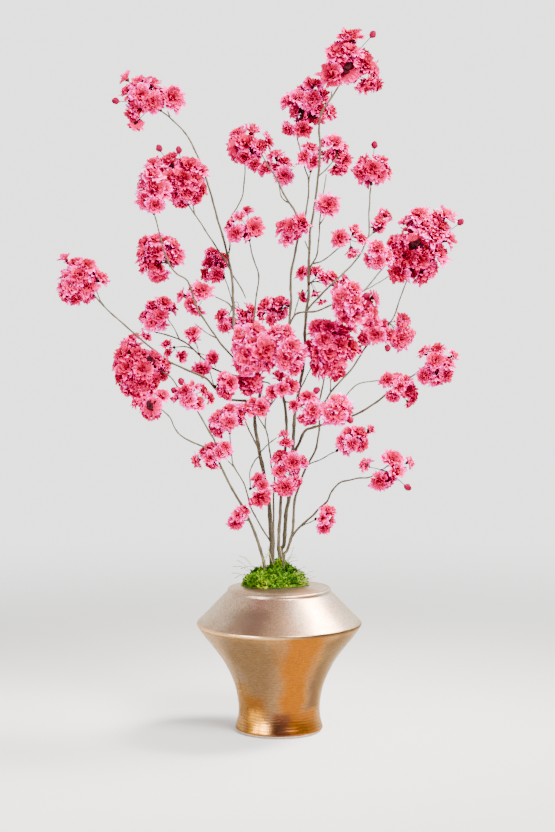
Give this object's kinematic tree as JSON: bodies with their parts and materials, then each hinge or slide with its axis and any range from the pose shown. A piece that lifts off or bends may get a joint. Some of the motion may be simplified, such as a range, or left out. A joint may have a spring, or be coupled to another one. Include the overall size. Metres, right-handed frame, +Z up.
{
  "type": "cherry blossom branches in a vase",
  "caption": "Tall open spray of double cherry blossom branches standing in a wide-shouldered glazed vase, with moss round the stems.",
  "frame": {"origin": "centre of the vase's foot, on the surface it stands on", "axes": "+Z up along the vase's axis, -Y towards the viewer of the picture, +X to the viewer's right"},
  "size_m": [0.7245, 0.321, 1.2663],
  "materials": {
    "glaze": "metallic lustre glaze, finely crackled on the shoulder",
    "foam": "wet packing, stands in for soaked floral foam",
    "moss": "soft cushion moss",
    "bark": "thin cherry bark",
    "petals": "thin matt petals"
  },
  "bodies": {
    "root": {"blossom_single": "petals", "blossoms_centre_right": "petals", "blossoms_collar_left": "petals", "blossoms_collar_right": "petals", "blossoms_crimson": "petals", "blossoms_crown_left": "petals", "blossoms_far_left": "petals", "blossoms_heart_back": "petals", "blossoms_heart_crest": "petals", "blossoms_heart_left": "petals", "blossoms_heart_right": "petals", "blossoms_heart_wide": "petals", "blossoms_high_centre": "petals", "blossoms_high_inner": "petals", "blossoms_high_right": "petals", "blossoms_inner_left": "petals", "blossoms_inner_pair": "petals", "blossoms_inner_top": "petals", "blossoms_left_back": "petals", "blossoms_left_chain": "petals", "blossoms_left_cloud": "petals", "blossoms_left_dark_cloud": "petals", "blossoms_left_dark_pair": "petals", "blossoms_left_end": "petals", "blossoms_left_fork": "petals", "blossoms_left_globe": "petals", "blossoms_left_inner": "petals", "blossoms_left_pale": "petals", "blossoms_left_small": "petals", "blossoms_left_trio": "petals", "blossoms_low_left_tip": "petals", "blossoms_low_right": "petals", "blossoms_low_right_end": "petals", "blossoms_lower_left": "petals", "blossoms_middle_left": "petals", "blossoms_neck": "petals", "blossoms_pale_globe": "petals", "blossoms_right_cloud": "petals", "blossoms_right_crown": "petals", "blossoms_right_end": "petals", "blossoms_right_inner": "petals", "blossoms_right_low_spray": "petals", "blossoms_right_pair": "petals", "blossoms_right_ruffle": "petals", "blossoms_right_star": "petals", "blossoms_right_twig": "petals", "blossoms_stem_left": "petals", "blossoms_stem_low": "petals", "blossoms_stem_ruffle": "petals", "blossoms_top": "petals", "blossoms_upper_right": "petals", "floral_foam": "foam", "moss": "moss", "stem_centre": "bark", "stem_centre_thin": "bark", "stem_left": "bark", "stem_low_left": "bark", "stem_right": "bark", "stem_tall": "bark", "vase": "glaze"}
  },
  "joints": []
}
